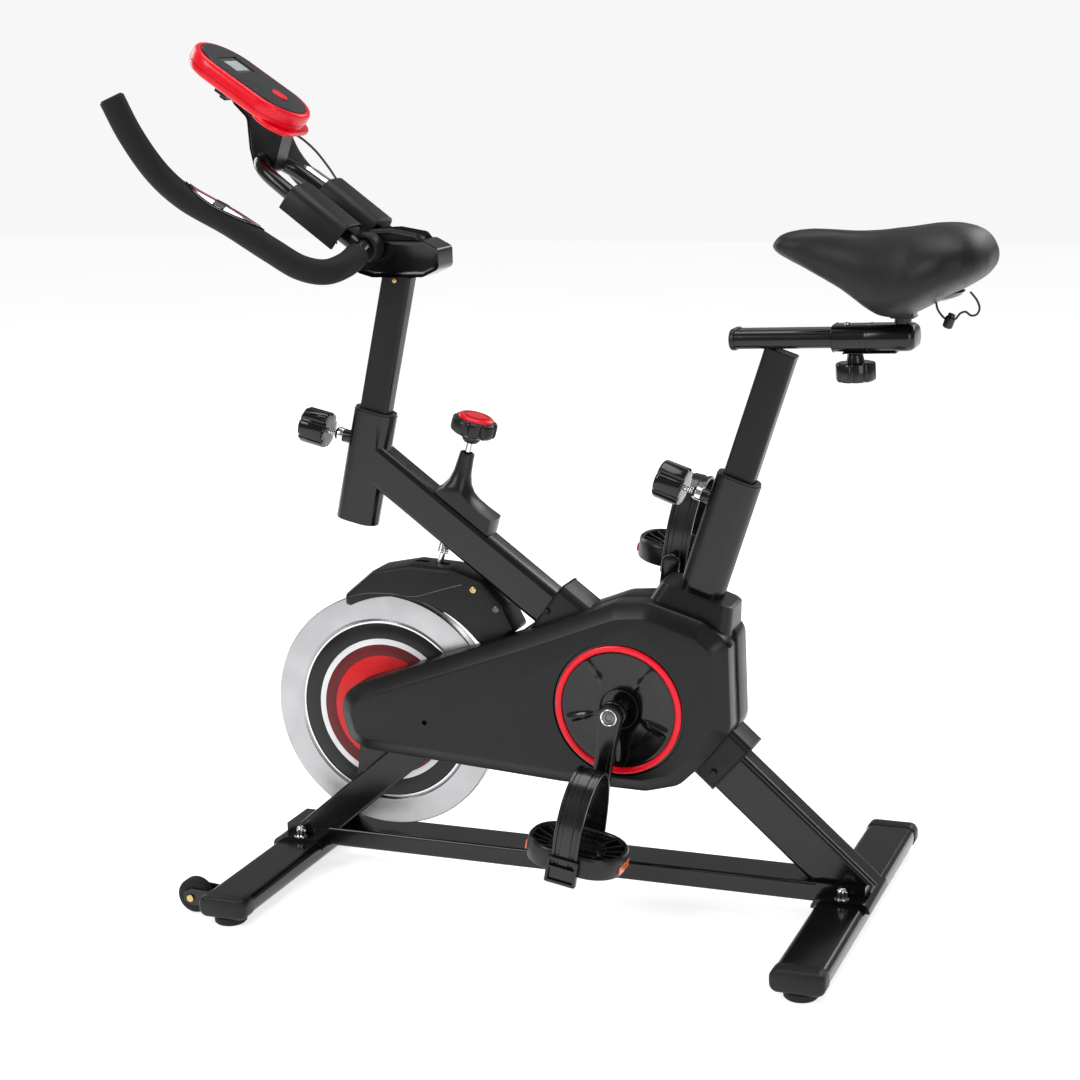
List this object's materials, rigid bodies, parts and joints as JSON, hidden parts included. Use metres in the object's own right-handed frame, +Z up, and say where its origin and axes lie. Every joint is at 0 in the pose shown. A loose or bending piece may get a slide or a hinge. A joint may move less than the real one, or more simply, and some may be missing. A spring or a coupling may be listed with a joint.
{
  "type": "indoor spin bike",
  "caption": "Indoor cycling bike with a belt-driven flywheel, push-down brake, sliding saddle, bullhorn bar with console and strapped pedals.",
  "frame": {"origin": "on the floor under the middle of the bounding box", "axes": "+Z up, -X towards the handlebar, -Y towards the belt casing"},
  "size_m": [1.0636, 0.536, 1.1092],
  "materials": {
    "black_gloss_paint": "gloss",
    "black_satin_paint": "satin",
    "black_plastic": "satin textured",
    "black_gloss_plastic": "gloss",
    "red_gloss_plastic": "gloss",
    "grey_plastic": "satin",
    "foam": "matt foam",
    "rubber": "matt",
    "chrome": "polished",
    "polished_wheel": "spun polish",
    "steel": "machined",
    "wheel_disc": "printed rings, gloss",
    "saddle_cover": "smooth synthetic leather",
    "cord": "braided"
  },
  "bodies": {
    "frame": {"main_frame": "black_gloss_paint", "seat_tube": "black_gloss_paint", "rear_leg": "black_gloss_paint", "base_tube": "black_gloss_paint", "fork": "black_gloss_paint", "front_stabiliser": "black_gloss_paint", "rear_stabiliser": "black_gloss_paint", "front_cap_left": "black_plastic", "front_cap_right": "black_plastic", "rear_cap_left": "black_plastic", "rear_cap_right": "black_plastic", "head_sleeve": "black_plastic", "seat_sleeve": "black_plastic", "casing_left": "black_plastic", "casing_right": "black_plastic", "pulley_cover": "black_gloss_plastic", "cover_ring": "red_gloss_plastic", "seat_collar": "black_plastic", "brake_cover": "black_plastic", "rod_boot": "black_plastic", "drive_belt": "rubber"},
    "bar": {"handlebar_post": "black_satin_paint", "handlebar": "black_gloss_paint", "grip_left": "foam", "grip_right": "foam", "pulse_plate_left": "chrome", "pulse_plate_right": "chrome", "clamp_cover": "black_plastic", "armrest_left": "black_plastic", "armrest_right": "black_plastic", "console_body": "red_gloss_plastic", "console_panel": "grey_plastic", "console_neck": "black_plastic", "sensor_lead": "rubber"},
    "button": {"console_button": "red_gloss_plastic"},
    "front_knob": {"front_clamp_knob": "black_gloss_plastic"},
    "rear_knob": {"rear_clamp_knob": "black_gloss_plastic"},
    "seat_mast": {"seat_post": "black_gloss_paint"},
    "carriage": {"seat_carriage": "black_gloss_paint", "saddle": "saddle_cover", "drawstring": "cord", "cord_lock": "black_plastic"},
    "slider": {"slider_knob": "black_plastic"},
    "brake": {"brake_rod": "chrome", "brake_pad": "rubber"},
    "brake_knob": {"resistance_knob": "black_plastic"},
    "wheel": {"flywheel": "polished_wheel", "flywheel_disc": "wheel_disc", "flywheel_axle": "steel", "flywheel_pulley": "steel"},
    "crank": {"drive_pulley": "steel", "crank_left": "black_satin_paint", "crank_right": "black_satin_paint"},
    "pedal_near": {"pedal_left": "black_gloss_plastic", "pedal_strap_left": "black_gloss_plastic"},
    "pedal_far": {"pedal_right": "black_gloss_plastic", "pedal_strap_right": "black_gloss_plastic"},
    "castor_near": {"transport_wheel_left": "rubber"},
    "castor_far": {"transport_wheel_right": "rubber"}
  },
  "joints": [
    {"name": "bar_height", "type": "slide", "parent": "frame", "child": "bar", "axis": [0.2233, 0, 0.9748], "range_m": [-0.04, 0.05]},
    {"name": "front_knob_turn", "type": "hinge", "parent": "frame", "child": "front_knob", "pos_m": [-0.2814, 0, 0.58809], "axis": [-0.9748, 0, 0.2233], "range_deg": [-30, 720]},
    {"name": "seat_height", "type": "slide", "parent": "frame", "child": "seat_mast", "axis": [0.3206, 0, 0.9472], "range_m": [-0.1, 0.05]},
    {"name": "rear_knob_turn", "type": "hinge", "parent": "frame", "child": "rear_knob", "pos_m": [0.20866, 0, 0.5289], "axis": [-0.9472, 0, 0.3206], "range_deg": [-30, 720]},
    {"name": "saddle_slide", "type": "slide", "parent": "seat_mast", "child": "carriage", "axis": [0.9994, 0, 0.0349], "range_m": [-0.03, 0.03]},
    {"name": "slider_knob_turn", "type": "hinge", "parent": "carriage", "child": "slider", "pos_m": [0.36485, 0, 0.72294], "axis": [0.0349, 0, -0.9994], "range_deg": [-30, 720]},
    {"name": "brake_push", "type": "slide", "parent": "frame", "child": "brake", "axis": [-0.284, 0, -0.9588], "range_m": [0, 0.0045], "stiffness_N_per_m": 4000, "springref_m": -0.003},
    {"name": "resistance_turn", "type": "hinge", "parent": "brake", "child": "brake_knob", "pos_m": [-0.1454, 0, 0.576], "axis": [0.284, 0, 0.9588], "range_deg": [-720, 720]},
    {"name": "flywheel_spin", "type": "hinge", "parent": "frame", "child": "wheel", "pos_m": [-0.2718, 0, 0.225], "axis": [0, 1, 0], "continuous": true},
    {"name": "crank_spin", "type": "hinge", "parent": "frame", "child": "crank", "pos_m": [0.0772, 0, 0.271], "axis": [0, 1, 0], "continuous": true},
    {"name": "pedal_near_spin", "type": "hinge", "parent": "crank", "child": "pedal_near", "pos_m": [0.05217, -0.152, 0.11297], "axis": [0, 1, 0], "continuous": true},
    {"name": "pedal_far_spin", "type": "hinge", "parent": "crank", "child": "pedal_far", "pos_m": [0.10223, 0.152, 0.42903], "axis": [0, 1, 0], "continuous": true},
    {"name": "castor_near_spin", "type": "hinge", "parent": "frame", "child": "castor_near", "pos_m": [-0.4528, -0.226, 0.023], "axis": [0, 1, 0], "continuous": true},
    {"name": "castor_far_spin", "type": "hinge", "parent": "frame", "child": "castor_far", "pos_m": [-0.4528, 0.226, 0.023], "axis": [0, 1, 0], "continuous": true},
    {"name": "button_press", "type": "slide", "parent": "bar", "child": "button", "axis": [-0.5592, 0, -0.829], "range_m": [0, 0.0015], "stiffness_N_per_m": 700, "springref_m": -0.0005}
  ],
  "couplings": [
    {"joint": "crank_spin", "follows": "flywheel_spin", "ratio": 0.25}
  ]
}
